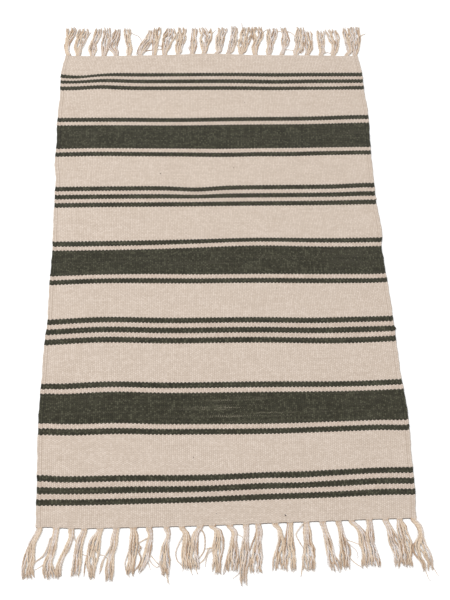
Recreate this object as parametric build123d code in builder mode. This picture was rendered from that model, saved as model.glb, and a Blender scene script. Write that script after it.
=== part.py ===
from build123d import *

import math
import os

# A flat-woven cotton bath mat with striped ends and a tasselled fringe.
#
# The cloth is weft-faced: a hidden sheet of parallel warp ends runs the length of the mat, and
# every stripe is a run of weft yarn that wraps over and under it. The outermost warp ends are
# doubled into a round cord at each side, the selvedge. The warp ends leave the cloth at both
# ends of the mat, gathered into tassels.
#
# Frame: millimetres. X runs across the mat, along the weft. Y runs along the mat, along the
# warp, from the near end to the far end. Z is up. The origin is on the underside, at the middle.
# The mat folds in half over its own top, about a line across the middle of the centre stripe.

# The cloth
WIDTH = 600.0
THICKNESS = 4.0
EDGE_RADIUS = 1.9
WARP_THICKNESS = 1.2
WARP_MARGIN = 7.0  # from the side of the mat to the warp sheet
SLACK = 0.05  # clearance round the warp inside the weft
SELVEDGE_CORD_RADIUS = 1.1
SELVEDGE_CORD_INSET = 3.6  # from the side of the mat to the cord's middle

# The stripes, along Y
THIN = 9.0
GAP = 8.0
BAND = 52.0
FIELD = 65.0
END_FIELD = 40.0
TRIPLES = 4  # groups of three thin stripes, which alternate with the wide groups
FOLD_GAP = 0.3  # between the two halves, flat or folded

# The fringe
TASSEL_LENGTH = 76.0
TASSEL_INSET = 5.0  # from the side of the mat to the root of an outermost tassel
# Share of the tassel's length, width and thickness, from the root to the cut ends
TASSEL_SECTIONS = [(0.0, 9.0, 3.4), (0.16, 8.0, 3.6), (0.55, 11.0, 3.6), (1.0, 13.0, 3.0)]
# How far each tassel leans towards +X, in degrees, from the left side to the right
NEAR_LEANS = [-9, -5, -11, -8, -7, -6, -4, -10, -2, 5, -2, 3, -1, -3, -5, 1, -2, 1, 8, 6, 8, 2, 8, 7, 9]
FAR_LEANS = [3, 5, 5, 3, 2, -5, 9, 3, 7, 7, 4, 1, 6, 10, 8, 4, 7, 6, 9, 3, 2, 1, 2, 9]


def band_names():
    """(name, width along Y) of every run of weft, from the near end to the far end."""
    bands = []
    field = 1
    for triple in range(1, TRIPLES + 1):
        bands.append((f"cream_field_{field}", END_FIELD if triple == 1 else FIELD))
        field += 1
        bands += [
            (f"triple_{triple}_green_1", THIN),
            (f"triple_{triple}_cream_1", GAP),
            (f"triple_{triple}_green_2", THIN),
            (f"triple_{triple}_cream_2", GAP),
            (f"triple_{triple}_green_3", THIN),
        ]
        if triple < TRIPLES:
            bands.append((f"cream_field_{field}", FIELD))
            field += 1
            bands += [
                (f"wide_{triple}_edge_green_near", THIN),
                (f"wide_{triple}_edge_cream_near", GAP),
                (f"wide_{triple}_green_band", BAND),
                (f"wide_{triple}_edge_cream_far", GAP),
                (f"wide_{triple}_edge_green_far", THIN),
            ]
    bands.append((f"cream_field_{field}", END_FIELD))
    return bands


def write(part, name):
    part.label = name
    export_step(part, f"parts/{name}.step")


def weft_band(start, stop):
    """A run of weft from Y start to stop: a flat sleeve round the warp sheet and selvedge cords."""
    with BuildPart() as band:
        with BuildSketch(Plane.XZ.offset(-start)):
            with Locations((0, THICKNESS / 2)):
                RectangleRounded(WIDTH, THICKNESS, EDGE_RADIUS)
                Rectangle(
                    WIDTH - 2 * WARP_MARGIN + 2 * SLACK, WARP_THICKNESS + 2 * SLACK, mode=Mode.SUBTRACT
                )
            with Locations(*[(x, THICKNESS / 2) for x in SELVEDGE_CORD_X]):
                Circle(SELVEDGE_CORD_RADIUS + SLACK, mode=Mode.SUBTRACT)
        extrude(amount=start - stop)
    return band.part


def warp_sheet(start, stop):
    """The parallel warp ends of one half of the mat, as one flat sheet."""
    with BuildPart() as sheet:
        with BuildSketch(Plane.XZ.offset(-start)):
            with Locations((0, THICKNESS / 2)):
                Rectangle(WIDTH - 2 * WARP_MARGIN, WARP_THICKNESS)
        extrude(amount=start - stop)
    return sheet.part


def selvedge_cord(x, start, stop):
    """The doubled warp ends along one side of one half of the mat."""
    with BuildPart() as cord:
        with BuildSketch(Plane.XZ.offset(-start)):
            with Locations((x, THICKNESS / 2)):
                Circle(SELVEDGE_CORD_RADIUS)
        extrude(amount=start - stop)
    return cord.part


def fringe(end, leans):
    """The row of tassels at one end of the mat: end is -1 at the near end and 1 at the far end."""
    reach = WIDTH - 2 * TASSEL_INSET
    pitch = reach / (len(leans) - 1)
    with BuildPart() as row:
        for number, lean in enumerate(leans):
            root = number * pitch - reach / 2
            for share, wide, thick in TASSEL_SECTIONS:
                out = share * TASSEL_LENGTH
                y = end * (LENGTH / 2 + out)
                with BuildSketch(Plane.XZ.offset(-y)):
                    with Locations((root + out * math.tan(math.radians(lean)), THICKNESS / 2)):
                        Ellipse(wide / 2, thick / 2)
            loft()
    return row.part


SELVEDGE_CORD_X = [side * (WIDTH / 2 - SELVEDGE_CORD_INSET) for side in (-1, 1)]
BANDS = band_names()
LENGTH = sum(width for _, width in BANDS)

os.makedirs("parts", exist_ok=True)

place = -LENGTH / 2
for name, width in BANDS:
    if place < -FOLD_GAP and place + width > FOLD_GAP:  # the centre stripe is folded in two
        write(weft_band(place, -FOLD_GAP / 2), f"{name}_near_half")
        write(weft_band(FOLD_GAP / 2, place + width), f"{name}_far_half")
    else:
        write(weft_band(place, place + width), name)
    place += width

HALVES = {"near": (-LENGTH / 2, -FOLD_GAP / 2), "far": (FOLD_GAP / 2, LENGTH / 2)}
for half, (start, stop) in HALVES.items():
    write(warp_sheet(start, stop), f"warp_sheet_{half}_half")
    for side, x in zip(("left", "right"), SELVEDGE_CORD_X):
        write(selvedge_cord(x, start, stop), f"{side}_selvedge_cord_{half}_half")

write(fringe(-1, NEAR_LEANS), "near_fringe_tassels")
write(fringe(1, FAR_LEANS), "far_fringe_tassels")
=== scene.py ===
import math
import bpy
import numpy as np
from mathutils import Matrix, Vector


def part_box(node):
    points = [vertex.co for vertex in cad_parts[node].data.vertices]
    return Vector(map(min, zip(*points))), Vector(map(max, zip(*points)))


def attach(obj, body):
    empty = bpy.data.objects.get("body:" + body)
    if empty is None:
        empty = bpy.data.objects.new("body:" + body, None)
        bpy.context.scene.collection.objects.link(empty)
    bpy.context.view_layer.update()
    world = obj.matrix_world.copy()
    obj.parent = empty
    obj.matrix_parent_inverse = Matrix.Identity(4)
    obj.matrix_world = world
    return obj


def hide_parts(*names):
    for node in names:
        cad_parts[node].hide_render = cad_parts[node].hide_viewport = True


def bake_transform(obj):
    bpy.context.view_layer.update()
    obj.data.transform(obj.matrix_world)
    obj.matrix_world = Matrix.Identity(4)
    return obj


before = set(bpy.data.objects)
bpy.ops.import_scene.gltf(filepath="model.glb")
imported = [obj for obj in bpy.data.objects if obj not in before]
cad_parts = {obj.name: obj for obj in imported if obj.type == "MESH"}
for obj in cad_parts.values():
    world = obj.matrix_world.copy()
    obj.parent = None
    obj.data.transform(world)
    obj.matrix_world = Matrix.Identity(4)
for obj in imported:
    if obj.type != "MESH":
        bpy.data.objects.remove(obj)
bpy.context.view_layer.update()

# A flat-woven cotton bath mat: cream weft with dark green cross stripes over hidden warp ends,
# which come out at both short ends as tassels. Lengths in the tables are millimetres.
# u and v are the places across and along the straight weave, before the cloth is laid out.

MM = 0.001
TAU = 2 * math.pi
NEAR, FAR = -1, 1

# ---------------------------------------------------------------- the weave's driving sizes

# The CAD cloth is 4 mm thick. This one is thinner, and its ripples lift it up to the same height.
field_low, field_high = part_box("cream_field_1")
HALF_WIDTH = field_high.x / MM
HALF_LENGTH = -field_low.y / MM
THICKNESS = 3.5
LIFT = 0.24
RIPPLE = 0.12

# The ribs that the hidden warp makes, with two thicker ones in each selvedge. The samples are the
# points across one rib, and a float is the weft that shows between two crossings, two picks long.
SELVEDGE_RIB = 3.8
SELVEDGE_RIBS = 2
RIB_COUNT = 185
FIELD_HALF = HALF_WIDTH - SELVEDGE_RIB * SELVEDGE_RIBS
RIB = 2 * FIELD_HALF / RIB_COUNT
MIDDLE_RIB = SELVEDGE_RIBS + RIB_COUNT / 2
RIB_SAMPLES = 4
SELVEDGE_SAMPLES = 10
RIB_DEPTH = 0.46
PICK = 1.5
PICK_DEPTH = 0.22

# Where two colours meet, neighbouring ribs step forward and back by ZIGZAG. The steps fade out
# over the last STRAIGHTENED millimetres of the cloth, down to LEAST_ZIGZAG of their size.
ZIGZAG = 0.9
STRAIGHTENED = 8.0
LEAST_ZIGZAG = 0.15

# How far in the sides and the two ends are rounded, how much of the end stays upright, and how
# far its foot stands out.
SIDE_ROUNDING = 1.9
END_ROUNDING = 1.2
END_ROWS = (0.2, 0.6, END_ROUNDING)
END_FACE = 0.65
END_FOOT = 0.95

# The fold in the middle: half the length where the band would bend, and the step of its finer rows there.
BEND_HALF = 4.0
BEND_ROW_STEP = 0.5

# Where the green weft is worn thin, in ribs and floats.
WORN_PLACE = (MIDDLE_RIB + 9, -87.0, 0.0)
WORN_REACH = (34.0, 9.0)

# Specks of seed husk in the cream yarn: (u, v, size, share of the husk's colour).
SPECKS = [
    (90.5, -438, 1.9, 1.0), (-104.5, 178, 1.7, 0.8), (-52.7, -337.7, 1.6, 0.7), (34.2, 190.9, 1.6, 0.5),
    (59, 338.1, 1.6, 0.5), (99, -52.2, 1.6, 0.4), (-18.5, -432, 1.6, 0.5), (218.3, -358.7, 1.6, 0.4),
]

# Where the two long edges lie: (v, x). The cloth narrows towards its corners.
LEFT_EDGE = [
    (-450, -295), (-437, -295.7), (-395, -297.2), (-353, -299), (-312, -301), (-252, -302),
    (-192, -300.7), (-154, -300.6), (-116, -297.8), (-57, -298.2), (24, -296.8), (83, -298.2),
    (141, -298.8), (178, -299.4), (200, -302.6), (240, -301.6), (301, -303), (361, -301),
    (402, -301.8), (424, -300), (450, -295),
]
RIGHT_EDGE = [
    (-450, 296.2), (-437, 297.5), (-395, 301), (-353, 301.6), (-292, 304.4), (-252, 304.2),
    (-212, 301.4), (-154, 300.7), (-116, 300.4), (-57, 299), (3, 296.4), (24, 295.6),
    (44, 298.8), (62, 299.8), (102, 296.6), (162, 297), (222, 298), (262, 300),
    (301, 302.2), (341, 301.2), (361, 300), (402, 300.4), (424, 299), (450, 295.8),
]

# Where a weft yarn turns back thickly round a selvedge: (side, v, how far it stands out).
WEFT_TURNS = [
    (1, -295, 1.1), (1, -129, 2.4), (1, 120, 1.7), (1, 400, 1.2),
    (-1, -23, 1.2), (-1, 289, 1.2), (-1, 405, 1.3),
]
TURN_REACH = 2.4

# How far each stripe group was beaten away from an even layout: (v, shift along the length).
BEATING = [
    (-450, 0), (-410, -5.2), (-376, -5.4), (-302, -7.8), (-216, -8.4), (-151, -5.2),
    (-108, -2.6), (-34, -3.5), (34, -4.6), (108, -1.5), (151, -1.5), (225, -2.1),
    (293, -1.0), (376, -1.8), (410, -3.8), (450, 0),
]

# Soft pulls in the wefts: (amount along the length, u, v, reach across, reach along).
PULLS = [
    (4.6, -205, -150, 85, 165),
    (-5.8, 215, -130, 115, 130),
    (-2.6, 70, -290, 110, 60),
    (3.0, -300, -335, 45, 75),
    (2.6, -285, -288, 70, 14),
    (-2.2, -40, -378, 80, 40),
    (2.0, 245, -390, 55, 45),
    (2.8, 70, 26, 95, 26),
    (-2.8, -215, 30, 110, 22),
    (-3.8, -38, 150, 42, 20),
    (3.0, 285, 165, 45, 45),
    (-2.6, 20, 215, 75, 28),
    (-1.8, 140, 216, 50, 22),
    (3.6, 285, 300, 75, 30),
    (-1.6, -75, 300, 90, 30),
    (-5.0, -272, 408, 34, 16),
    (2.6, -212, 384, 44, 22),
    (-1.8, 120, 385, 60, 25),
    (4.2, -10, 450, 70, 14),
    (-2.2, -235, 450, 60, 12),
    (-2.0, 290, 450, 60, 12),
    (4.0, -292, -450, 40, 16),
    (-1.0, -40, -450, 110, 14),
    (1.6, -225, 225, 75, 26),
    (2.0, -170, -270, 50, 60),
    (2.6, -292, -250, 18, 48),
    (2.2, 225, -115, 60, 30),
    (1.8, -292, -370, 15, 14),
    (-1.3, -180, -402, 90, 16),
    (-1.5, 115, -378, 35, 14),
    (-1.9, 280, -31, 40, 18),
    (1.4, -110, -28, 60, 16),
    (1.5, 70, 31, 190, 10),
    (1.4, 20, 398, 170, 8),
    (1.8, -225, 368, 30, 9),
    (-2.4, -240, 411, 35, 7),
    (-1.6, 220, 376, 50, 6),
    (-2.0, 290, -297, 25, 20),
]


def smooth_line(points, at):
    """A smooth curve through given (place, value) points, read at these places."""
    place, value = np.array(points, float).T
    slope = np.gradient(value, place)
    left = np.clip(np.searchsorted(place, at) - 1, 0, len(place) - 2)
    span = place[left + 1] - place[left]
    t = np.clip((at - place[left]) / span, 0, 1)
    start = (1 + 2 * t) * (1 - t) ** 2 * value[left] + t * (1 - t) ** 2 * span * slope[left]
    end = t * t * (3 - 2 * t) * value[left + 1] + t * t * (t - 1) * span * slope[left + 1]
    return start + end


def smooth_step(low, high, at):
    """0 up to low, 1 from high and a smooth change between them."""
    t = np.clip((at - low) / (high - low), 0, 1)
    return t * t * (3 - 2 * t)


def bump_at(at, middle, reach):
    """1 at the middle, and falling to nothing some way past its reach."""
    return np.exp(-((at - middle) / reach) ** 2)


def root_pull(x, v):
    """How far the gathered tassels draw the cloth's two ends out, in small points."""
    pull = np.zeros(np.shape(x))
    for end, tassels in ((NEAR, NEAR_TASSELS), (FAR, FAR_TASSELS)):
        by_end = bump_at(v, end * HALF_LENGTH, ROOT_REACH_ALONG)
        if np.max(by_end) < 0.01:
            continue
        for root, *_ in tassels:
            pull = pull + end * ROOT_PULL * by_end * bump_at(x, root, ROOT_REACH)
    return pull


def lay_cloth(u, v):
    """Where the place (u, v) of the straight weave lies on the floor."""
    left = smooth_line(LEFT_EDGE, v)
    right = smooth_line(RIGHT_EDGE, v)
    wander = 0.25 * np.sin(v / 3.1) + 0.3 * np.sin(v / 7.3 + 1.0)
    in_selvedge = np.clip(np.abs(u) - FIELD_HALF, 0, None) / (HALF_WIDTH - FIELD_HALF)
    x = left + (u + HALF_WIDTH) / (2 * HALF_WIDTH) * (right - left) + wander * in_selvedge * np.sign(u)
    for side, at_v, amount in WEFT_TURNS:
        x = x + side * amount * in_selvedge * (np.sign(u) == side) * bump_at(v, at_v, TURN_REACH)
    y = v + smooth_line(BEATING, v)
    for amount, at_u, at_v, reach_u, reach_v in PULLS:
        y = y + amount * bump_at(u, at_u, reach_u) * bump_at(v, at_v, reach_v)
    return x, y + root_pull(x, v)


def lift(u, v):
    """How far the cloth's underside clears the floor in its soft ripples."""
    across = np.sin(u / 47.0 + 0.6 * np.sin(v / 60.0))
    along = np.sin(v / 33.0 + 0.8 * np.sin(u / 90.0))
    return LIFT + RIPPLE * across + RIPPLE * along


# ---------------------------------------------------------------- meshes


def build_piece(name, points, quads, triangles, quad_uv, flat_from, uv_name):
    """A piece from its points, in millimetres. The faces from flat_from on are shaded flat."""
    mesh = bpy.data.meshes.new(name)
    corners = np.concatenate([quads.ravel(), triangles.ravel()])
    starts = np.concatenate([np.arange(len(quads)) * 4, len(quads) * 4 + np.arange(len(triangles)) * 3])
    mesh.vertices.add(len(points))
    mesh.vertices.foreach_set("co", (points * MM).astype(np.float32).ravel())
    mesh.loops.add(len(corners))
    mesh.loops.foreach_set("vertex_index", corners.astype(np.int32))
    mesh.polygons.add(len(starts))
    mesh.polygons.foreach_set("loop_start", starts.astype(np.int32))
    mesh.polygons.foreach_set("use_smooth", np.arange(len(starts)) < flat_from)
    layer = mesh.uv_layers.new(name=uv_name)
    uv = np.zeros((len(corners), 2), np.float32)
    uv[:len(quads) * 4] = quad_uv.reshape(-1, 2)
    layer.data.foreach_set("uv", uv.ravel())
    mesh.update(calc_edges=True)
    piece = bpy.data.objects.new(name, mesh)
    bpy.context.scene.collection.objects.link(piece)
    return piece


def cloth_columns():
    """Places across the cloth, half thicknesses and warp phases, from selvedge to selvedge."""
    selvedge = SELVEDGE_RIB * np.arange(SELVEDGE_RIBS)
    field = RIB * np.arange(RIB_COUNT)
    starts = np.concatenate([selvedge - HALF_WIDTH, field - FIELD_HALF, selvedge + FIELD_HALF])
    u, phase = [], []
    for number, start in enumerate(starts):
        in_selvedge = number < SELVEDGE_RIBS or number >= SELVEDGE_RIBS + RIB_COUNT
        samples = SELVEDGE_SAMPLES if in_selvedge else RIB_SAMPLES
        width = SELVEDGE_RIB if in_selvedge else RIB
        part = np.arange(samples) / samples
        u.append(start + width * part)
        phase.append(number + part)
    u = np.concatenate(u + [[HALF_WIDTH]])
    phase = np.concatenate(phase + [[len(starts)]])
    from_side = np.clip((HALF_WIDTH - np.abs(u)) / SIDE_ROUNDING, 0, 1)
    rounding = np.sqrt(1 - (1 - from_side) ** 2)
    groove = RIB_DEPTH * np.abs(np.cos(math.pi * phase)) ** 3
    return u, (THICKNESS / 2 - groove) * rounding, phase


COLUMN_U, COLUMN_HALF, COLUMN_PHASE = cloth_columns()


def band_rows(near, far):
    """The rows of one weft band and each row's place in its column of floats, two picks to a float."""
    floats = max(2, round((far - near) / (2 * PICK)))
    rows = np.linspace(near, far, 2 * floats + 1)
    if near < 0 < far:
        bend = np.arange(-BEND_HALF - 1, BEND_HALF + 1 + BEND_ROW_STEP, BEND_ROW_STEP)
        rows = np.concatenate([rows[rows < bend[0]], bend, rows[rows > bend[-1]]])
    ends = np.array(END_ROWS)
    if near <= -HALF_LENGTH:
        rows = np.concatenate([rows[:1], near + ends, rows[2:]])
    if far >= HALF_LENGTH:
        rows = np.concatenate([rows[:-2], far - ends[::-1], rows[-1:]])
    return rows, (rows - near) / (far - near) * floats


def sleeve_faces(row_count, around, columns):
    """The faces of a closed sleeve: quads, first the sides, then both end caps, and triangles."""
    here = np.arange(around)
    after = (here + 1) % around
    row = np.arange(row_count - 1)[:, None] * around
    sides = np.stack([row + here, row + after, row + around + after, row + around + here], -1)
    left = np.arange(1, columns - 2)
    cap = np.stack([left, around - left, around - left - 1, left + 1], -1)
    corner = np.array([[0, around - 1, 1], [columns - 2, columns, columns - 1]])
    last = (row_count - 1) * around
    quads = np.concatenate([sides.reshape(-1, 4), cap, cap[:, ::-1] + last])
    triangles = np.concatenate([corner, corner[:, ::-1] + last])
    return quads, triangles


def weft_band(name, near, far):
    """One colour band of weft: a closed ribbed sleeve of picks from selvedge to selvedge."""
    rows, float_part = band_rows(near, far)
    u, v = np.meshgrid(COLUMN_U, rows)
    unevenness = 0.88 + 0.12 * np.sin(u / 9.7 + v / 5.3)
    strength = unevenness * np.clip((HALF_LENGTH - np.abs(v)) / STRAIGHTENED, LEAST_ZIGZAG, 1)
    v = v + ZIGZAG * strength * np.sin(math.pi * COLUMN_PHASE)
    x, y = lay_cloth(u, v)
    from_end = np.clip((HALF_LENGTH + ZIGZAG - np.abs(v)) / END_ROUNDING, END_FACE, 1)
    between_floats = np.cos(math.pi * float_part[:, None]) ** 2
    dip = PICK_DEPTH * between_floats * np.abs(np.sin(math.pi * COLUMN_PHASE))
    half = (COLUMN_HALF - dip * (COLUMN_HALF > THICKNESS / 4)) * np.sqrt(1 - (1 - from_end) ** 2)
    middle = THICKNESS / 2 + lift(u, v)
    is_end_row = (np.abs(rows) > HALF_LENGTH - 0.01)[:, None]
    foot = END_FOOT * np.sign(v) * is_end_row
    top = np.stack([x, y, middle + half], -1)
    bottom = np.stack([x, y + foot, middle - half], -1)[:, -2:0:-1]
    points = np.concatenate([top, bottom], 1)
    uv = np.stack(np.meshgrid(COLUMN_PHASE, float_part + round(near / (2 * PICK))), -1)
    uv = np.concatenate([uv, uv[:, -2:0:-1]], 1).reshape(-1, 2)
    row_count, around = points.shape[:2]
    quads, triangles = sleeve_faces(row_count, around, len(COLUMN_U))
    side_count = (row_count - 1) * around
    return build_piece(name, points.reshape(-1, 3), quads, triangles, uv[quads], side_count, "Weave")


class Tubes:
    """Collects closed tubes, then joins them in one piece."""

    def __init__(self):
        self.points, self.quads, self.triangles, self.uv, self.tints = [], [], [], [], []
        self.count = 0

    def add(self, path, radius, tint, sides=8, lobes=0.0, turns=None):
        """A tube along the path. lobes is how deep the two plies' groove is, turns their twist."""
        path = np.asarray(path, float)
        rings = len(path)
        turns = np.zeros(rings) if turns is None else turns
        ahead = np.gradient(path, axis=0)
        ahead /= np.linalg.norm(ahead, axis=1)[:, None]
        across = np.cross(ahead, [0.0, 0.0, 1.0])
        across /= np.linalg.norm(across, axis=1)[:, None]
        up = np.cross(across, ahead)
        angle = TAU * np.arange(sides) / sides
        spread = radius[:, None] * (1 + lobes * np.cos(2 * (angle[None] - turns[:, None])))
        ring = (path[:, None] + across[:, None] * (spread * np.cos(angle))[..., None]
                + up[:, None] * (spread * np.sin(angle))[..., None])
        here = np.arange(sides)
        after = (here + 1) % sides
        row = np.arange(rings - 1)[:, None] * sides
        quads = np.stack([row + here, row + sides + here, row + sides + after, row + after], -1)
        length = np.concatenate([[0], np.cumsum(np.linalg.norm(np.diff(path, axis=0), axis=1))]) * MM
        low = np.broadcast_to(here / sides, (rings - 1, sides))
        high = low + 1 / sides
        near = np.broadcast_to(length[:-1, None], low.shape)
        far = np.broadcast_to(length[1:, None], low.shape)
        uv = np.stack([low, near, low, far, high, far, high, near], -1).reshape(-1, 4, 2)
        first = rings * sides
        start_cap = np.stack([np.full(sides, first), here, after], -1)
        end_cap = np.stack([np.full(sides, first + 1), after + first - sides, here + first - sides], -1)
        self.points.append(np.concatenate([ring.reshape(-1, 3), path[:1], path[-1:]]))
        self.quads.append(quads.reshape(-1, 4) + self.count)
        self.triangles.append(np.concatenate([start_cap, end_cap]) + self.count)
        self.uv.append(uv)
        self.tints.append(np.full(first + 2, tint))
        self.count += first + 2

    def piece(self, name):
        """All the tubes so far as one piece, with each point's tint."""
        quads = np.concatenate(self.quads)
        triangles = np.concatenate(self.triangles)
        faces = len(quads) + len(triangles)
        points = np.concatenate(self.points)
        piece = build_piece(name, points, quads, triangles, np.concatenate(self.uv), faces, "Strand")
        tint = piece.data.attributes.new("Tint", "FLOAT", "POINT")
        tint.data.foreach_set("value", np.concatenate(self.tints).astype(np.float32))
        return piece


def curve_through(points, spacing):
    """Evenly spaced places on a smooth curve through given points."""
    points = np.array(points, float)
    place = np.concatenate([[0], np.cumsum(np.linalg.norm(np.diff(points, axis=0), axis=1))])
    at = np.linspace(0, place[-1], max(6, int(place[-1] / spacing)))
    return np.stack([smooth_line(np.stack([place, column], -1), at) for column in points.T], -1)


# ---------------------------------------------------------------- the tassels

# One strand: its radius before the plies' lobes and swellings, which make it up to PLUMPEST times
# as thick, the length of one twist, and the step between the rings of its mesh.
STRAND_RADIUS = 1.35
PLUMPEST = 1.2
LOBES = 0.15
PLY_PITCH = 10.0
RING_SPACING = 1.1

# One tassel: its neck beside the cloth, how much wider it lies than the tables say, how far up
# its second layer and its highest point are, and how much longer the far tassels are.
NECK_LENGTH = 5.0
NECK_WIDTH = 8.8
FLARE = 1.08
LAYER_GAP = 0.9
CLEARANCE = 0.03
HIGHEST = 4.12
FAR_REACH = 2.5

# Where a strand leaves the cloth: how far inside it starts, and how wide the root is there and
# at the edge as shares of the tassel's root width. The root pulls the cloth's edge out a little.
IN_CLOTH = 2.5
ROOT_SHARES = (0.85, 0.58)
ROOT_PULL = 0.8
ROOT_REACH = 4.2
ROOT_REACH_ALONG = 4.5

# The strays were measured by their bare plies, and are this much thicker with their fuzz.
STRAY_GAIN = 1.35
STRAY_RISE = 1.6

# Where a tassel's strands lie: (share of the half width, layer from the bottom). A tassel that
# spreads wider than WIDE_TASSEL anywhere has the second list.
WIDE_TASSEL = 17.5
STRAND_SLOTS = [(-1.0, 0), (-0.75, 1), (-0.4, 0), (0.0, 1), (0.4, 0), (0.75, 1), (1.0, 0)]
WIDE_SLOTS = [
    (-1.0, 0), (-0.82, 1), (-0.55, 0), (-0.3, 1), (0.0, 0), (0.3, 1), (0.55, 0), (0.82, 1), (1.0, 0),
]

# Each tassel: (root x, width of its gathered root, tip, [(distance, x, width), ...]). Distances
# are from the mat's middle line, so the cloth ends near 450. The order is from left to right.
NEAR_TASSELS = [
    (-289.5, 15, 518, [(465, -297, 11), (480, -301.5, 13), (500, -302.5, 17), (515, -301.5, 19)]),
    (-264, 16, 519, [(465, -266, 9), (480, -268.5, 11), (500, -273, 14), (515, -271, 18)]),
    (-241, 15, 519, [(460, -240.5, 7), (475, -245.5, 8), (490, -252.5, 8), (505, -258, 8),
                     (515, -257, 9)]),
    (-221, 15, 517, [(465, -226, 12), (480, -228.5, 11), (500, -230.5, 13), (510, -232, 14)]),
    (-197, 18, 521, [(465, -203, 15), (475, -206, 18), (485, -207.5, 19), (500, -208, 15),
                     (512, -207, 10)]),
    (-172, 17, 525, [(462, -174, 10), (480, -176, 10), (490, -179, 10), (510, -181, 12)]),
    (-146, 18, 518, [(462, -144.5, 12), (480, -146, 13), (500, -148, 10), (512, -150, 13)]),
    (-122, 15, 514, [(460, -120, 7), (475, -121.5, 9), (495, -127, 10), (512, -133, 10)]),
    (-95, 14, 520, [(460, -92.5, 7), (480, -97, 10), (490, -98, 12), (505, -97.8, 17), (516, -97, 11)]),
    (-71, 15, 513, [(460, -66, 9), (475, -64.5, 11), (490, -65.5, 13), (508, -65.5, 14)]),
    (-43.5, 16, 513, [(460, -48.5, 9), (475, -52.5, 11), (490, -53, 13), (508, -52.5, 14)]),
    (-24, 16, 520, [(458, -17, 10), (465, -15, 12), (485, -16.5, 16), (495, -18, 14), (515, -19, 15)]),
    (3, 17, 517, [(460, 8.5, 9), (475, 8, 10), (490, 7, 14), (508, 5, 18)]),
    (28, 15, 537, [(460, 28.5, 8), (480, 25.5, 11), (500, 24.5, 14), (520, 22, 12), (532, 21, 12)]),
    (47, 15, 521, [(460, 48, 10), (480, 45.5, 10), (490, 43, 14), (500, 42, 17), (515, 41, 18)]),
    (74, 16, 518, [(460, 79.5, 7), (470, 81, 8), (480, 82, 12), (495, 77.5, 16), (512, 75.5, 17)]),
    (97, 16, 520, [(460, 96, 10), (470, 95, 12), (480, 94, 13), (495, 94, 16), (512, 93, 17)]),
    (122.5, 15, 520, [(465, 123, 12), (480, 122.5, 12), (490, 123, 18), (500, 123, 20), (512, 122, 18)]),
    (148, 16, 523, [(460, 150, 8), (480, 154.5, 10), (500, 157.5, 13), (510, 160, 16), (520, 162, 16)]),
    (173, 15, 521, [(460, 175, 8), (470, 176.5, 9), (480, 178, 12), (490, 179, 16), (515, 178, 13)]),
    (194, 15, 518, [(460, 202, 9), (470, 208, 11), (485, 209, 12), (505, 212, 14), (515, 211, 15)]),
    (221.5, 15, 518, [(460, 222, 9), (470, 220.5, 11), (485, 221, 12), (505, 223.5, 14), (515, 225, 15)]),
    (247.5, 15, 520, [(460, 251, 9), (470, 255, 12), (485, 258, 16), (500, 262, 15), (515, 261, 14)]),
    (270, 16, 520, [(460, 272, 14), (470, 273, 15), (485, 276.5, 16), (500, 277, 15), (515, 275, 14)]),
    (292, 14, 526, [(460, 298, 9), (480, 300.5, 11), (490, 297, 19), (500, 298.5, 23), (518, 305.5, 17)]),
]

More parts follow.
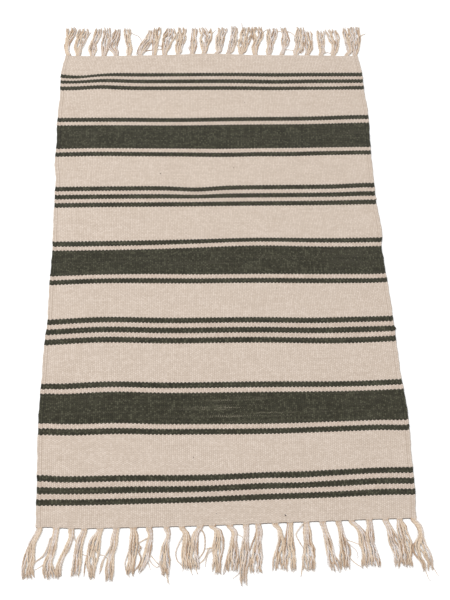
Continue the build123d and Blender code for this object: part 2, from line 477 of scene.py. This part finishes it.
FAR_TASSELS = [
    (-289, 11, 519, [(460, -292, 8), (480, -293, 11), (500, -288, 15), (515, -285.5, 20)]),
    (-270, 14, 515, [(460, -270, 12), (470, -270.5, 16), (490, -267, 18), (500, -265, 24),
                     (512, -260, 22)]),
    (-242, 15, 516, [(458, -242, 12), (465, -242, 17), (480, -241, 16), (490, -237, 14), (512, -232, 13)]),
    (-219, 14, 518, [(460, -218, 11), (470, -217, 14), (490, -216, 16), (510, -215, 14)]),
    (-194.5, 14, 514, [(460, -196, 13), (470, -202, 17), (485, -200.5, 18), (500, -196, 17),
                       (512, -193, 14)]),
    (-169, 14, 516, [(460, -168.5, 11), (470, -168, 12), (490, -171.5, 11), (512, -174, 15)]),
    (-146, 15, 512, [(460, -143.5, 13), (470, -140, 17), (480, -136, 18), (490, -130, 17),
                     (508, -126, 12)]),
    (-118, 12, 520, [(460, -117.5, 9), (480, -116, 11), (490, -115, 15), (510, -113.5, 17)]),
    (-97, 14, 517, [(460, -97, 10), (470, -94.5, 15), (480, -92, 19), (500, -88, 24), (514, -85, 17)]),
    (-70, 14, 519, [(460, -69, 12), (470, -68.7, 14), (485, -66, 18), (500, -62.5, 19), (514, -61, 18)]),
    (-42, 15, 517, [(460, -41, 13), (470, -41, 15), (480, -38.5, 14), (490, -38, 11), (514, -36, 11)]),
    (-18, 14, 519, [(460, -17, 10), (470, -16, 14), (480, -15, 18), (490, -14, 22), (514, -13, 24)]),
    (8, 15, 519, [(460, 11.5, 11), (470, 12.5, 14), (485, 14.7, 15), (500, 17.5, 18), (512, 21, 20)]),
    (31, 15, 522, [(460, 34.5, 11), (470, 38, 12), (480, 40, 14), (500, 44, 14), (515, 46.5, 12)]),
    (57, 14, 520, [(460, 59.5, 14), (470, 62, 18), (480, 64, 21), (490, 65, 24), (505, 68.5, 22),
                   (518, 71, 16)]),
    (86, 12, 521, [(460, 85.5, 10), (470, 86, 13), (490, 92, 17), (505, 93.5, 23), (518, 92, 19)]),
    (113.5, 14, 517, [(460, 114.5, 12), (470, 117, 14), (485, 119.5, 16), (500, 122, 19), (512, 124, 20)]),
    (140, 12, 519, [(460, 142.5, 8), (470, 146, 9), (480, 149, 14), (490, 150, 16), (500, 150.5, 12),
                    (515, 148, 12)]),
    (169, 14, 520, [(460, 171, 13), (470, 176, 18), (480, 178, 16), (500, 180, 16), (515, 182, 15)]),
    (192, 12, 510, [(460, 195, 10), (470, 197.5, 15), (480, 198, 17), (495, 197, 15), (506, 198, 16)]),
    (220, 16, 511, [(460, 223.5, 11), (470, 223.5, 11), (490, 223, 15), (506, 224.5, 15)]),
    (245, 15, 515, [(460, 248, 13), (470, 251, 13), (480, 253, 15), (490, 251, 22), (512, 246.5, 23)]),
    (273, 13, 520, [(460, 280, 10), (480, 281, 11), (500, 281, 18), (515, 281, 20)]),
    (290, 13, 521, [(460, 292.5, 11), (480, 296, 15), (500, 298, 16), (516, 298, 16)]),
]

# Single strands that leave a tassel: (tassel number from 1, radius, tint, [(x, distance), ...]).
NEAR_STRAYS = [
    (2, 0.75, 0.3, [(-272, 462), (-274, 470), (-283, 488), (-295, 497)]),
    (2, 0.6, 0.2, [(-270, 460), (-272, 470), (-280, 487), (-292, 495)]),
    (2, 0.4, 0.4, [(-273, 492), (-284, 502), (-291, 506)]),
    (4, 0.65, 0.3, [(-237, 458), (-236, 463), (-233, 469), (-229, 478)]),
    (5, 0.6, 0.8, [(-214, 485), (-218, 500), (-219, 517)]),
    (5, 0.35, 0.5, [(-224, 486), (-217, 489), (-208, 488)]),
    (5, 0.4, 0.5, [(-200, 488), (-190, 490), (-186, 493)]),
    (6, 0.75, 0.2, [(-177, 470), (-181, 478), (-188, 490), (-193, 500), (-196, 515)]),
    (6, 0.75, 0.5, [(-178, 474), (-184, 484), (-190, 495), (-194, 511)]),
    (7, 0.6, 0.3, [(-151, 482), (-156, 494), (-158, 502), (-157, 511)]),
    (8, 0.7, 0.8, [(-134, 478), (-137, 487), (-134, 495), (-136, 503), (-143, 513)]),
    (8, 0.55, 0.6, [(-122, 466), (-131, 470), (-137, 474), (-134, 481)]),
    (8, 0.4, 0.5, [(-120, 491), (-112, 500), (-106, 507)]),
    (8, 0.45, 0.3, [(-126, 494), (-122, 504), (-120, 511)]),
    (8, 0.45, 0.3, [(-124, 492), (-116, 505), (-110, 509), (-103, 504)]),
    (9, 0.7, 0.4, [(-97, 500), (-95.5, 512), (-94.5, 521), (-92, 532)]),
    (9, 0.6, 0.2, [(-99, 500), (-96.5, 512), (-94, 520), (-93.5, 529)]),
    (10, 0.6, 0.3, [(-68, 462), (-77, 478), (-81, 490), (-79, 500), (-72, 508)]),
    (10, 0.5, 0.4, [(-62, 500), (-59, 511), (-57, 519)]),
    (11, 0.6, 0.7, [(-44, 454), (-38, 462), (-36, 475), (-38, 488), (-46, 499)]),
    (11, 0.5, 0.4, [(-54, 500), (-51, 511), (-49, 519)]),
    (12, 0.6, 0.4, [(-19, 478), (-23, 485), (-29, 484), (-33, 490), (-38, 500), (-45, 506)]),
    (12, 0.5, 0.3, [(-22, 486), (-30, 490), (-34, 498), (-36, 508)]),
    (12, 0.7, 0.9, [(-20, 478), (-25, 484), (-32, 485)]),
    (13, 0.6, 0.3, [(4, 480), (-2, 495), (-6, 508), (-9, 519)]),
    (13, 0.6, 0.3, [(6, 485), (0, 500), (-4, 512), (-7, 520)]),
    (14, 0.35, 0.4, [(22, 470), (15, 466), (9, 468)]),
    (14, 0.4, 0.2, [(19, 510), (14, 522), (6, 528)]),
    (15, 0.7, 0.9, [(45, 458), (41, 470), (36, 481), (33, 489)]),
    (16, 0.6, 0.2, [(76, 485), (70, 497), (67, 508), (66, 519)]),
    (18, 0.6, 0.3, [(119, 452), (111, 460), (105.5, 469), (109, 478), (114, 487)]),
    (18, 0.6, 0.4, [(117, 495), (113, 510), (109, 528)]),
    (20, 0.4, 0.2, [(181, 480), (190, 488), (198, 497), (199, 503)]),
    (20, 0.55, 0.3, [(182, 498), (186, 505), (195, 514), (203, 519)]),
    (20, 0.4, 0.4, [(180, 474), (185, 479), (192, 482), (205, 487)]),
    (25, 0.4, 0.3, [(308, 508), (314, 523), (320, 535)]),
    (25, 0.4, 0.3, [(300, 515), (302, 530), (305, 540)]),
]

FAR_STRAYS = [
    (2, 0.6, 0.3, [(-263, 470), (-257, 485), (-252, 500), (-247, 510)]),
    (6, 0.55, 0.2, [(-171, 500), (-168, 510), (-160, 505), (-150, 500), (-146, 493), (-142, 484)]),
    (7, 0.6, 0.9, [(-141, 458), (-136, 462), (-130, 464), (-122, 466)]),
    (7, 0.6, 0.9, [(-153, 453), (-152, 462), (-148, 475), (-144, 484)]),
    (9, 0.55, 0.3, [(-113, 476), (-104, 475), (-94, 475), (-84, 474)]),
    (9, 0.55, 0.3, [(-113, 466), (-104, 467), (-95, 468)]),
    (12, 0.5, 0.3, [(-6, 490), (-2, 503), (3, 511), (7, 516)]),
    (15, 0.6, 0.1, [(66, 500), (64, 512), (62.5, 522), (62, 534)]),
    (15, 0.6, 0.3, [(58, 462), (52, 472), (49, 482), (52, 492)]),
    (15, 0.6, 0.5, [(59, 465), (54, 475), (53, 486), (57, 497)]),
    (16, 0.6, 0.7, [(95, 495), (103, 508), (110, 516)]),
    (17, 0.5, 0.3, [(126, 503), (133, 512), (141, 513), (147, 509)]),
    (18, 0.5, 0.3, [(148, 508), (155, 512), (165, 508), (170, 500), (168, 489)]),
    (18, 0.45, 0.3, [(146, 465), (156, 466), (166, 464)]),
    (19, 0.7, 1.0, [(178, 456), (184, 462), (186, 475), (187, 491)]),
    (21, 0.55, 0.2, [(227, 456), (233, 459), (240, 457)]),
    (23, 0.6, 0.2, [(279, 458), (275, 470), (273, 485), (276, 500)]),
    (23, 0.7, 0.9, [(281, 455), (277, 461), (275, 467)]),
    (24, 0.6, 0.4, [(297, 460), (303, 478), (305, 490), (308, 502), (316, 506)]),
]


def strand_path(tassel, end, slot, layer, rng):
    """The centreline of one strand: spread in the cloth's edge, gathered in the neck, then loose."""
    root, root_width, tip, stations = tassel
    edge = edge_distance(root, end)
    begin = edge - IN_CLOTH
    centre = [(begin, root), (edge + 2, root)] + [(place, x) for place, x, _ in stations]
    width = [(begin, root_width * ROOT_SHARES[0]), (edge + 0.3, root_width * ROOT_SHARES[1])]
    width += [(edge + 4, NECK_WIDTH)]
    width += [(place, w) for place, _, w in stations if place > edge + 6]
    cut = tip - rng.uniform(0, 6) * abs(rng.normal(0, 0.7)) + (FAR_REACH if end == FAR else 0)
    along = np.linspace(begin, cut, int((cut - edge) / RING_SPACING))
    loose = smooth_step(edge + NECK_LENGTH, edge + 30, along)
    wave = rng.uniform(34, 70)
    start = rng.uniform(0, TAU)
    drift = 0.24 * np.sin(TAU * along / wave + start) + 0.06 * np.sin(TAU * along / 13.0 + 2 * start)
    share = np.clip(slot + loose * drift, -1.1, 1.1)
    half = (FLARE * smooth_line(width, along) / 2 - STRAND_RADIUS).clip(0.6, None)
    x = smooth_line(centre, along) + share * half
    gathered = smooth_step(edge, edge + NECK_LENGTH, along)
    sag = 1 - 0.3 * smooth_step(edge + 25, edge + 60, along)
    sway = 0.22 * loose * np.sin(TAU * along / (wave * 0.7) + start * 3)
    lowest = STRAND_RADIUS * PLUMPEST + CLEARANCE
    lying = lowest + LAYER_GAP * layer * sag + sway
    inside = THICKNESS / 2 + 0.2
    z = inside + gathered * (lying - inside)
    return np.stack([x, end * along, z.clip(lowest, HIGHEST - STRAND_RADIUS * PLUMPEST)], -1)


def edge_distance(x, end):
    """How far from the mat's middle line the cloth ends at this x."""
    return abs(float(lay_cloth(np.array(x), np.array(end * HALF_LENGTH))[1]))


def add_strand(tubes, path, radius, tint, rng):
    """A two-ply cotton strand that slims at its cut end and opens into a few fibres."""
    count = len(path)
    along = np.arange(count) * RING_SPACING
    to_end = along[-1] - along
    slimmed = 0.62 + 0.38 * smooth_step(0, 7, to_end)
    swelling = 1 + 0.04 * np.sin(along / 3.7 + tint * 9)
    turns = TAU * along / PLY_PITCH + rng.uniform(0, TAU)
    tubes.add(path, radius * slimmed * swelling, tint, sides=10, lobes=LOBES, turns=turns)
    heading = path[-1] - path[-5]
    heading /= np.linalg.norm(heading)
    for _ in range(3):
        reach = rng.uniform(2.0, 6.5)
        swing = rng.uniform(-0.55, 0.55)
        t = np.linspace(0, 1, 6)[:, None]
        sideways = np.array([-heading[1], heading[0], 0.0])
        fibre = path[-2] + heading * reach * t + sideways * swing * reach * t * t
        fibre[:, 2] = np.clip(fibre[:, 2] - 0.9 * t[:, 0], 0.35, None)
        tubes.add(fibre, np.linspace(0.3, 0.07, 6), tint - 0.15, sides=4)


def add_loose_fibres(tubes, tassel, end, rng):
    """Fine curved fibres that stand out of a tassel's sides."""
    _, _, tip, stations = tassel
    centre = [(place, x) for place, x, _ in stations]
    width = [(place, w) for place, _, w in stations]
    for _ in range(9):
        place = rng.uniform(stations[0][0] + 4, tip - 8)
        side = rng.choice([-1, 1])
        begin = smooth_line(centre, place) + side * smooth_line(width, place) * 0.42
        out = rng.uniform(0.8, 3.4) * side
        run = rng.uniform(5, 12)
        height = rng.uniform(0.8, 2.8)
        points = [(begin, place), (begin + out, place + run * 0.4), (begin + out * 0.5, place + run)]
        flat = curve_through(points, 1.2)
        path = np.stack([flat[:, 0], end * flat[:, 1], np.full(len(flat), height)], -1)
        tubes.add(path, np.full(len(path), 0.1), rng.uniform(0, 0.3), sides=3)


def add_tassel(tubes, tassel, end, rng):
    """All strands of a tassel, the bottom layer painted browner as painted shade under the top strands,
    and its loose fibres.
    """
    widest = max(width for _, _, width in tassel[3])
    slots = WIDE_SLOTS if widest > WIDE_TASSEL else STRAND_SLOTS
    for slot, layer in slots:
        # Tints differ at random, and the bottom layer's strands get 0.4 more: painted shade, browner where
        # they lie under the top layer.
        tint = rng.uniform(0.0, 0.55) + 0.4 * (1 - layer)
        path = strand_path(tassel, end, slot, layer, rng)
        add_strand(tubes, path, STRAND_RADIUS * rng.uniform(0.8, 1.0), tint, rng)
    add_loose_fibres(tubes, tassel, end, rng)


def add_stray(tubes, stray, end, rng):
    """One strand along its own listed route, up over its tassel at first, then on the floor."""
    _, radius, tint, route = stray
    radius *= STRAY_GAIN
    flat = curve_through(route, RING_SPACING)
    part = np.linspace(0, 1, len(flat))
    height = radius * PLUMPEST + CLEARANCE + STRAY_RISE * (1 - smooth_step(0.05, 0.6, part))
    path = np.stack([flat[:, 0], end * flat[:, 1], height], -1)
    add_strand(tubes, path, radius, tint, rng)


def fringe(word, end, tassels, strays, material):
    """All tassels of one end, as pieces of two tassels each."""
    made = []
    for first in range(0, len(tassels), 2):
        pair = tassels[first:first + 2]
        tubes = Tubes()
        for number, tassel in enumerate(pair, first + 1):
            rng = np.random.default_rng(1000 * (end + 2) + number)
            add_tassel(tubes, tassel, end, rng)
            for stray in strays:
                if stray[0] == number:
                    add_stray(tubes, stray, end, rng)
        numbers = "_".join(f"{number:02d}" for number in range(first + 1, first + 1 + len(pair)))
        bunch = tubes.piece(f"{word}_tassels_{numbers}")
        node = f"{word}_fringe_tassels"
        made.append(finish_piece(bunch, material, node, f"{word}_half"))
    return made


# ---------------------------------------------------------------- the hidden warp

WARP_RADIUS = 0.45
WARP_STATIONS = 29
CORD_RADIUS = 0.95
CORD_STATIONS = 220
CORD_TWIST = 9.0
CORD_INSETS = (2.7, 4.9)


def warp_end(u, end, radius, stations, tubes, tint, sides, lobes=0.0):
    """One warp end of half the mat, following the laid-out cloth."""
    v = end * np.linspace(0.4, HALF_LENGTH - 2, stations)
    u = np.full(stations, float(u))
    x, y = lay_cloth(u, v)
    path = np.stack([x, y, THICKNESS / 2 + lift(u, v)], -1)
    turns = TAU * np.abs(v) / CORD_TWIST
    tubes.add(path, np.full(stations, radius), tint, sides=sides, lobes=lobes, turns=turns)


def warp_pieces(body, end, material):
    """The warp ends between the selvedges and the two thicker twisted cords in each selvedge."""
    tubes = Tubes()
    for rib in range(RIB_COUNT):
        warp_end(RIB * (rib + 0.5) - FIELD_HALF, end, WARP_RADIUS, WARP_STATIONS, tubes, 0.3, 4)
    warp_piece = tubes.piece(f"warp_ends_{body}")
    made = [finish_piece(warp_piece, material, f"warp_sheet_{body}", body)]
    for side, sign in (("left", -1), ("right", 1)):
        tubes = Tubes()
        for inset in CORD_INSETS:
            u = sign * (HALF_WIDTH - inset)
            warp_end(u, end, CORD_RADIUS, CORD_STATIONS, tubes, 0.4, 8, 0.2)
        cord = tubes.piece(f"{side}_selvedge_{body}")
        made.append(finish_piece(cord, material, f"{side}_selvedge_cord_{body}", body))
    return made


# ---------------------------------------------------------------- materials


def colour(red, green, blue):
    """A linear colour from an sRGB one given in 0 to 255."""
    parts = []
    for part in (red, green, blue):
        part /= 255
        parts.append(part / 12.92 if part <= 0.04045 else ((part + 0.055) / 1.055) ** 2.4)
    return (*parts, 1.0)


class Paint:
    """A matt cotton material in the making. Its methods add nodes and give back their outputs."""

    def __init__(self, name, sheen):
        self.material = bpy.data.materials.new(name)
        self.material.use_nodes = True
        self.tree = self.material.node_tree
        self.shader = self.tree.nodes["Principled BSDF"]
        self.shader.inputs["Specular IOR Level"].default_value = 0.15
        self.shader.inputs["Sheen Weight"].default_value = sheen
        self.shader.inputs["Sheen Roughness"].default_value = 0.6

    def node(self, kind, inputs=(), **settings):
        """A node with its settings, and its inputs as (socket, value or link) pairs."""
        node = self.tree.nodes.new(kind)
        for word, value in settings.items():
            setattr(node, word, value)
        for socket, value in inputs:
            if isinstance(value, bpy.types.NodeSocket):
                self.tree.links.new(value, node.inputs[socket])
            else:
                node.inputs[socket].default_value = value
        return node

    def calc(self, operation, *values):
        """The result of one Math node."""
        return self.node("ShaderNodeMath", enumerate(values), operation=operation).outputs[0]

    def vector(self, operation, *values):
        """The result of one Vector Math node."""
        node = self.node("ShaderNodeVectorMath", enumerate(values), operation=operation)
        return node.outputs["Value" if operation == "LENGTH" else "Vector"]

    def noise(self, place, detail=2.0, roughness=0.5):
        inputs = [("Vector", place), ("Scale", 1.0), ("Detail", detail), ("Roughness", roughness)]
        return self.node("ShaderNodeTexNoise", inputs).outputs["Fac"]

    def ramp(self, value, start, full):
        """0 where the value is at start, 1 where it is full and a smooth change between them."""
        inputs = [("Value", value), ("From Min", start), ("From Max", full)]
        node = self.node("ShaderNodeMapRange", inputs, interpolation_type="SMOOTHSTEP")
        return node.outputs["Result"]

    def blend(self, factor, first, second):
        inputs = [(0, factor), (6, first), (7, second)]
        return self.node("ShaderNodeMix", inputs, data_type="RGBA").outputs[2]

    def layered(self, tone, *layers):
        """The tone under layers of (amount, share, colour). A layer at amount 1 hides this share."""
        for amount, share, other in layers:
            tone = self.blend(self.calc("MULTIPLY", amount, share), tone, other)
        return tone

    def scaled(self, place, across, along, offset=0.0):
        """A place stretched to its own number of repeats each way."""
        inputs = [("Vector", place), ("Scale", (across, along, 1.0)), ("Location", (offset,) * 3)]
        return self.node("ShaderNodeMapping", inputs).outputs["Vector"]

    def humps(self, count):
        """One round hump between each whole number and the next."""
        return self.calc("ABSOLUTE", self.calc("SINE", self.calc("MULTIPLY", count, math.pi)))

    def distance(self, place, middle, across, along):
        """How far a place lies from an oval spot's middle, 1 at the spot's rim."""
        away = self.vector("SUBTRACT", place, middle)
        return self.vector("LENGTH", self.scaled(away, 1 / across, 1 / along))

    def finish(self, tone, roughness, height, strength, distance):
        """The material, with its shader linked up."""
        inputs = [("Height", height), ("Strength", strength), ("Distance", distance)]
        normal = self.node("ShaderNodeBump", inputs).outputs["Normal"]
        for socket, value in (("Base Color", tone), ("Roughness", roughness), ("Normal", normal)):
            self.tree.links.new(value, self.shader.inputs[socket])
        return self.material


def weft_cotton(name, base, deep, pale, peep, nep, hollow_shade, lot_share, specks=()):
    """Weft-faced plain weave. The UV map counts warp ribs across and floats along.

    peep is the warp where it shows between thin floats, nep the little knots in the yarn, hollow_shade
    how much painted shade darkens the hollows between floats, and lot_share how far single floats differ.
    """
    paint = Paint(name, sheen=0.12)
    count = paint.node("ShaderNodeUVMap", uv_map="Weave").outputs["UV"]
    split = paint.node("ShaderNodeSeparateXYZ", [("Vector", count)])
    rib, float_count = split.outputs["X"], split.outputs["Y"]
    plump = paint.calc("SQRT", paint.calc("MULTIPLY", paint.humps(rib), paint.humps(float_count)))
    hollow = paint.calc("SUBTRACT", 1.0, plump)
    cell = paint.vector("FLOOR", count)
    lot = paint.node("ShaderNodeTexWhiteNoise", [("Vector", cell)], noise_dimensions="2D")
    lot = lot.outputs["Value"]
    slub = paint.noise(paint.scaled(count, 0.05, 1.7), 3.0, 0.6)
    column = paint.noise(paint.scaled(count, 0.9, 0.05, 2.0))
    mottle = paint.noise(paint.scaled(count, 0.08, 0.1, 3.0), 4.0, 0.6)
    rows = paint.noise(paint.scaled(count, 0.02, 0.7, 5.0))
    knots = paint.noise(paint.scaled(count, 1.3, 1.5, 7.0), 1.0)
    grain = paint.noise(paint.scaled(count, 3.0, 3.0), 2.0, 0.6)
    from_middle = paint.calc("ABSOLUTE", paint.calc("SUBTRACT", rib, MIDDLE_RIB))
    from_groove = paint.calc("ABSOLUTE", paint.calc("SUBTRACT", from_middle, RIB_COUNT / 2))
    off_worn = paint.distance(count, WORN_PLACE, *WORN_REACH)
    worn = paint.calc("MULTIPLY_ADD", paint.ramp(off_worn, 1.0, 0.2), 0.85, 0.15)
    worn = paint.calc("MULTIPLY", worn, paint.ramp(rows, 0.5, 0.6))
    bare = paint.calc("MULTIPLY", worn, paint.ramp(hollow, 0.35, 0.8))
    bare = paint.calc("MULTIPLY", bare, paint.ramp(lot, 0.3, 0.8))
    tone = paint.layered(
        base,
        (paint.ramp(slub, 0.35, 0.75), 0.5, deep),
        (paint.ramp(column, 0.35, 0.7), 0.24, pale),
        (paint.ramp(mottle, 0.42, 0.7), 0.24, pale),
        (lot, lot_share, deep),
        (paint.ramp(lot, 0.4, 0.0), lot_share, pale),
        # Painted shade: the hollows between the floats are darkened towards deep.
        (paint.calc("POWER", hollow, 1.5), hollow_shade, deep),
        # Darker over the selvedge ribs, and painted shade as a dark line in the groove where the field
        # meets the selvedge.
        (paint.ramp(from_middle, RIB_COUNT / 2 + 1.2, RIB_COUNT / 2 + 1.9), 0.22, deep),
        (paint.ramp(from_groove, 0.5, 0.1), 0.4, deep),
        (bare, 0.6, peep),
        (paint.ramp(knots, 0.77, 0.81), 0.7, nep),
    )
    for u, v, size, share in specks:
        middle = (SELVEDGE_RIBS + (u + FIELD_HALF) / RIB, v / (2 * PICK), 0.0)
        off_speck = paint.distance(count, middle, size / RIB, size / (2 * PICK))
        tone = paint.layered(tone, (paint.ramp(off_speck, 1.0, 0.4), share, HUSK))
    roughness = paint.calc("MULTIPLY_ADD", grain, 0.12, 0.84)
    height = paint.calc("MULTIPLY_ADD", grain, 0.25, plump)
    return paint.finish(tone, roughness, height, strength=0.7, distance=0.0005)


def strand_cotton(name, base, pale, deep, honey):
    """Twisted cotton strands, from pale to honey brown by their tint, with fibres along the plies."""
    paint = Paint(name, sheen=0.2)
    place = paint.node("ShaderNodeUVMap", uv_map="Strand").outputs["UV"]
    tint = paint.node("ShaderNodeAttribute", attribute_name="Tint").outputs["Fac"]
    split = paint.node("ShaderNodeSeparateXYZ", [("Vector", place)])
    around, metres = split.outputs["X"], split.outputs["Y"]
    twists = paint.calc("MULTIPLY", metres, 1000 / PLY_PITCH)
    ply = paint.calc("SUBTRACT", paint.calc("MULTIPLY", around, 2.0), paint.calc("MULTIPLY", twists, 2.0))
    groove = paint.calc("COSINE", paint.calc("MULTIPLY", ply, TAU))
    valley = paint.calc("MULTIPLY_ADD", groove, -0.5, 0.5)
    inputs = [("X", paint.calc("MULTIPLY", ply, 4.0)), ("Y", metres), ("Z", tint)]
    lay = paint.node("ShaderNodeCombineXYZ", inputs).outputs["Vector"]
    fibres = paint.noise(paint.scaled(lay, 1.0, 120.0))
    patches = paint.noise(paint.scaled(lay, 0.02, 60.0), 3.0)
    brown = paint.calc("MULTIPLY", paint.ramp(tint, 0.45, 0.95), paint.ramp(patches, 0.2, 0.55))
    tone = paint.layered(
        paint.blend(paint.ramp(tint, 0.1, 0.45), pale, base),
        (paint.ramp(patches, 0.6, 0.35), 0.6, deep),
        (brown, 0.85, honey),
        # Painted shade in the groove between the two plies.
        (paint.calc("POWER", valley, 2.0), 0.5, deep),
    )
    roughness = paint.calc("MULTIPLY_ADD", fibres, 0.14, 0.82)
    height = paint.calc("MULTIPLY_ADD", groove, 0.6, fibres)
    return paint.finish(tone, roughness, height, strength=0.6, distance=0.0002)


def floor_paint():
    """Plain matt white."""
    material = bpy.data.materials.new("floor_white")
    material.use_nodes = True
    shader = material.node_tree.nodes["Principled BSDF"]
    shader.inputs["Base Color"].default_value = (0.9, 0.9, 0.9, 1.0)
    shader.inputs["Roughness"].default_value = 0.9
    shader.inputs["Specular IOR Level"].default_value = 0.0
    return material


# ---------------------------------------------------------------- the pieces on their bodies


def paint_shadow_on_ends(piece, material):
    """Gives the faces that close a band's two ends a second material, a dark brown painted shadow in place
    of the contact shadow under the cloth's edge.
    """
    piece.data.materials.append(material)
    for face in piece.data.polygons:
        if not face.use_smooth:
            face.material_index = 1


def finish_piece(piece, material, nodes, body):
    """Gives a piece its material, hides the CAD parts it stands for, and puts it on its body if it has
    one.
    """
    piece.data.materials.append(material)
    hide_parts(*([nodes] if isinstance(nodes, str) else nodes))
    if body:
        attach(piece, body)
    return piece


def body_of_node(node):
    """The near half ends at the fold, in the middle of the mat."""
    low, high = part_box(node)
    return "near_half" if low.y + high.y < 0 else "far_half"


HUSK = colour(72, 62, 60)

cream = weft_cotton(
    "cream_weft",
    base=colour(200, 186, 173),
    deep=colour(160, 144, 129),
    pale=colour(208, 195, 184),
    peep=colour(200, 180, 160),
    nep=colour(112, 92, 76),
    hollow_shade=0.7,
    lot_share=0.3,
    specks=SPECKS,
)
gap_cream = weft_cotton(
    "cream_stripe_weft",
    base=colour(200, 186, 173),
    deep=colour(156, 138, 123),
    pale=colour(208, 194, 183),
    peep=colour(205, 182, 165),
    nep=colour(140, 112, 95),
    hollow_shade=0.8,
    lot_share=0.35,
)
green = weft_cotton(
    "green_weft",
    base=colour(57, 55, 39),
    deep=colour(22, 20, 13),
    pale=colour(90, 89, 72),
    peep=colour(200, 190, 166),
    nep=colour(140, 132, 112),
    hollow_shade=0.95,
    lot_share=0.48,
)
strand = strand_cotton(
    "fringe_strands",
    base=colour(208, 190, 169),
    pale=colour(213, 206, 204),
    deep=colour(164, 141, 119),
    honey=colour(152, 120, 92),
)
warp = strand_cotton(
    "warp_strands",
    base=colour(226, 208, 190),
    pale=colour(232, 220, 208),
    deep=colour(190, 168, 148),
    honey=colour(200, 172, 142),
)
# Painted shadow: a dark brown yarn colour for the cloth's near end face, standing in for the thin contact
# shadow under its edge.
painted_end_shadow = strand_cotton(
    "painted_edge_shadow",
    base=colour(86, 75, 64),
    pale=colour(98, 86, 75),
    deep=colour(58, 49, 42),
    honey=colour(68, 57, 48),
)

CENTRE_HALVES = ("wide_2_green_band_near_half", "wide_2_green_band_far_half")

bands = {}
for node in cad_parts:
    is_band = node.startswith(("cream_field_", "triple_", "wide_"))
    if not is_band or node in CENTRE_HALVES:
        continue
    if "green" in node:
        material, slot = green, "green_weft"
    else:
        material, slot = (cream if node.startswith("cream_field_") else gap_cream), "cream_weft"
    low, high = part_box(node)
    band = weft_band(f"weft_{node}", low.y / MM, high.y / MM)
    bands[node] = finish_piece(band, material, node, body_of_node(node))
# The near end face of the first cream band is painted dark, as painted contact shadow.
paint_shadow_on_ends(bands["cream_field_1"], painted_end_shadow)

# The middle green band is one piece across the fold, with finer rows where it would bend, on no body.
centre_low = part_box(CENTRE_HALVES[0])[0]
centre_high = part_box(CENTRE_HALVES[1])[1]
centre = weft_band("weft_wide_2_green_band", centre_low.y / MM, centre_high.y / MM)
finish_piece(centre, green, CENTRE_HALVES, None)
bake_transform(centre)

near_tassels = fringe("near", NEAR, NEAR_TASSELS, NEAR_STRAYS, strand)
far_tassels = fringe("far", FAR, FAR_TASSELS, FAR_STRAYS, strand)
near_warp = warp_pieces("near_half", NEAR, warp)
far_warp = warp_pieces("far_half", FAR, warp)

# ---------------------------------------------------------------- the floor, light and camera

bpy.ops.mesh.primitive_plane_add(size=12.0, location=(0, 0, 0))
floor = bpy.context.object
floor.name = "floor"
floor.data.materials.append(floor_paint())

# The cloth is one sheet woven in bands, each as wide as the mat and as long as its own picks.


def area_light(name, place, size, energy):
    """A soft square light that faces the mat's middle."""
    light = bpy.data.lights.new(name, "AREA")
    light.size = size
    light.energy = energy
    lamp = bpy.data.objects.new(name, light)
    bpy.context.scene.collection.objects.link(lamp)
    lamp.location = place
    lamp.rotation_euler = Vector(place).to_track_quat("Z", "Y").to_euler()


area_light("key_light", (-2.2, 0.9, 3.2), 1.6, 105)
area_light("fill_light", (1.6, -1.2, 3.0), 2.4, 28)

world = bpy.data.worlds.new("soft_studio")
world.use_nodes = True
world.node_tree.nodes["Background"].inputs["Color"].default_value = (1.0, 1.0, 1.0, 1.0)
world.node_tree.nodes["Background"].inputs["Strength"].default_value = 0.75
bpy.context.scene.world = world
bpy.context.scene.view_settings.view_transform = "Standard"

CAMERA_PLACE = (-0.0469, -0.4967, 1.1091)
CAMERA_YAW, CAMERA_PITCH, CAMERA_ROLL = (math.radians(angle) for angle in (7.41, 69.13, -5.95))
CAMERA_LENS = 40.7

camera = bpy.data.objects.new("camera", bpy.data.cameras.new("camera"))
bpy.context.scene.collection.objects.link(camera)
turn = Matrix.Rotation(-CAMERA_YAW, 4, "Z") @ Matrix.Rotation(math.pi / 2 - CAMERA_PITCH, 4, "X")
camera.matrix_world = Matrix.Translation(CAMERA_PLACE) @ turn @ Matrix.Rotation(-CAMERA_ROLL, 4, "Z")
camera.data.lens = CAMERA_LENS
camera.data.clip_start = 0.01
bpy.context.scene.camera = camera
